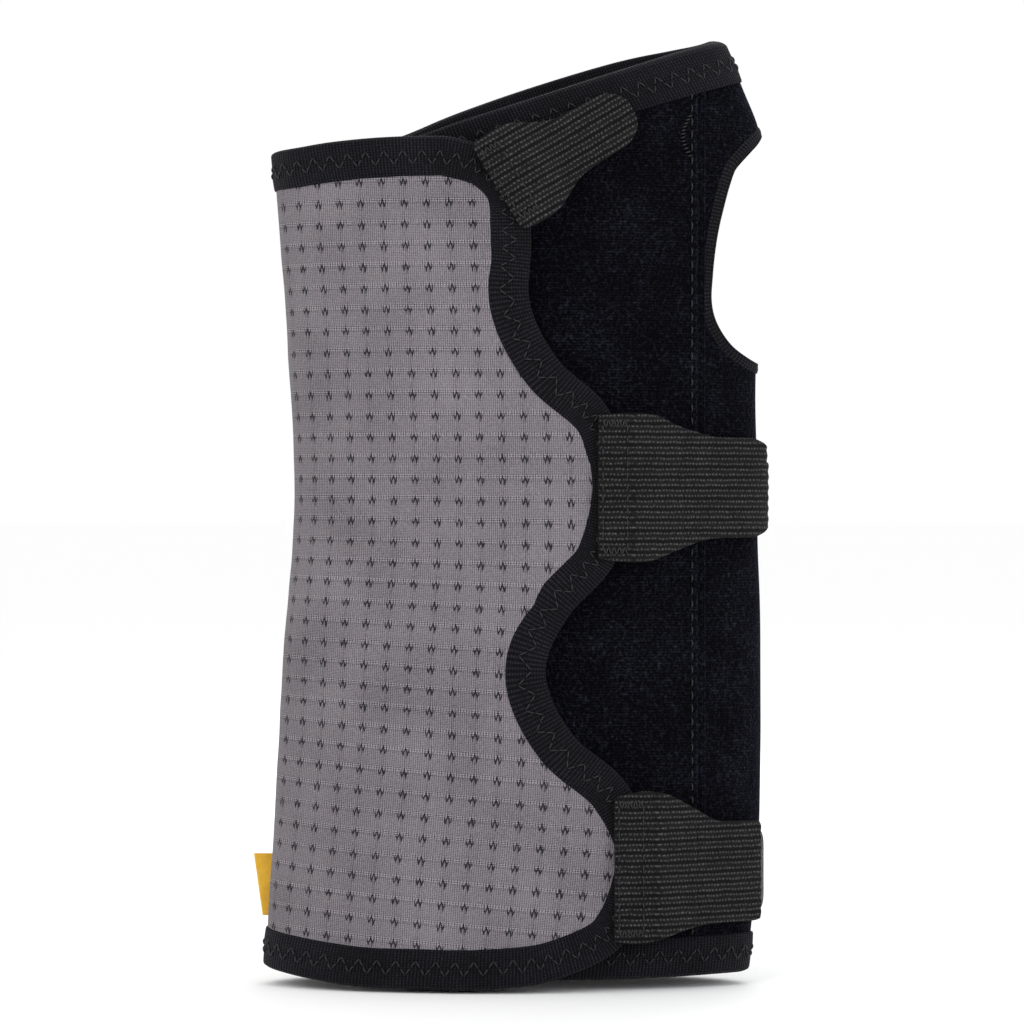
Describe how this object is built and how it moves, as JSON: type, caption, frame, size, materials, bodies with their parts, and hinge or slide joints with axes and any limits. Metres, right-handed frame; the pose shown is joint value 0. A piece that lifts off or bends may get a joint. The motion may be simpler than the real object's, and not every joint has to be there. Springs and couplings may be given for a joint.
{
  "type": "wrist splint",
  "caption": "Wrist splint: a padded sleeve with a grey mesh flap that laps over a loop panel and closes with hook-ended elastic straps; a metal stay slides out of the palm pocket.",
  "frame": {"origin": "middle of the sleeve's footprint on the plane that its forearm rim stands on", "axes": "+Z from the forearm rim to the hand rim; -Y out of the back of the hand, where the flap and straps are; +X to the thumb side"},
  "size_m": [0.1154, 0.0492, 0.2103],
  "materials": {
    "knit_mesh": "matt",
    "foam_lining": "matt",
    "brushed_loop": "matt",
    "binding": "matt",
    "elastic": "matt",
    "tag": "satin",
    "aluminium": "satin",
    "moulded_tip": "matt",
    "hook": "matt",
    "thread": "satin"
  },
  "bodies": {
    "palm_side": {"palm_face": "brushed_loop", "palm_lining": "foam_lining", "ulnar_mesh": "knit_mesh", "ulnar_foam": "foam_lining", "thumb_gusset_back": "brushed_loop", "palm_top_binding": "binding", "palm_foot_binding": "binding", "ulnar_top_binding": "binding", "ulnar_foot_binding": "binding", "thumb_edging_back": "binding", "ulnar_seam_tape": "binding", "side_tag": "tag", "stay_pocket": "brushed_loop", "pocket_mouth_tape": "binding"},
    "stay": {"palm_stay": "aluminium", "palm_stay_tips": "moulded_tip"},
    "flap": {"flap_mesh": "knit_mesh", "flap_foam": "foam_lining", "flap_top_binding": "binding", "scallop_binding": "binding", "flap_foot_binding": "binding", "strap_mid_root": "elastic", "strap_low_root": "elastic", "strap_top_root": "elastic", "strap_bartacks": "thread"},
    "loop_side": {"dorsal_loop_face": "brushed_loop", "dorsal_lining": "foam_lining", "thumb_gusset_front": "brushed_loop", "dorsal_top_binding": "binding", "dorsal_foot_binding": "binding", "dorsal_edge_binding": "binding", "thumb_edging_front": "binding", "side_stay": "aluminium", "side_stay_channel": "foam_lining"},
    "strap_top_free": {"strap_top_web": "elastic"},
    "strap_top_end": {"strap_top_tab": "elastic", "strap_top_hook": "hook"},
    "strap_mid_free": {"strap_mid_web": "elastic"},
    "strap_mid_end": {"strap_mid_tab": "elastic", "strap_mid_hook": "hook"},
    "strap_low_free": {"strap_low_web": "elastic"},
    "strap_low_end": {"strap_low_tab": "elastic", "strap_low_hook": "hook"}
  },
  "joints": [
    {"name": "flap_open", "type": "hinge", "parent": "palm_side", "child": "flap", "pos_m": [-0.0573, 0, 0.1], "axis": [0, 0, -1], "range_deg": [0, 110]},
    {"name": "loop_panel_open", "type": "hinge", "parent": "palm_side", "child": "loop_side", "pos_m": [0.0558, 0, 0.1], "axis": [0, 0, 1], "range_deg": [0, 33]},
    {"name": "stay_slide", "type": "slide", "parent": "palm_side", "child": "stay", "axis": [0, 0, 1], "range_m": [0, 0.17]},
    {"name": "strap_mid_lift", "type": "hinge", "parent": "flap", "child": "strap_mid_free", "pos_m": [0.02767, -0.02085, 0.11], "axis": [0, 0, -1], "range_deg": [0, 120]},
    {"name": "strap_mid_unroll", "type": "hinge", "parent": "strap_mid_free", "child": "strap_mid_end", "pos_m": [0.04677, -0.01117, 0.11], "axis": [0, 0, -1], "range_deg": [0, 66]},
    {"name": "strap_low_lift", "type": "hinge", "parent": "flap", "child": "strap_low_free", "pos_m": [0.03307, -0.02032, 0.025], "axis": [0, 0, -1], "range_deg": [0, 120]},
    {"name": "strap_low_unroll", "type": "hinge", "parent": "strap_low_free", "child": "strap_low_end", "pos_m": [0.04687, -0.01204, 0.025], "axis": [0, 0, -1], "range_deg": [0, 66]},
    {"name": "strap_top_lift", "type": "hinge", "parent": "flap", "child": "strap_top_free", "pos_m": [0.00163, -0.02285, 0.1797], "axis": [0.515, 0, -0.8572], "range_deg": [0, 120]},
    {"name": "strap_top_unroll", "type": "hinge", "parent": "strap_top_free", "child": "strap_top_end", "pos_m": [0.01209, -0.0188, 0.18599], "axis": [0.515, 0, -0.8572], "range_deg": [0, 30]}
  ],
  "couplings": [
    {"joint": "loop_panel_open", "follows": "flap_open", "ratio": 0.3}
  ]
}
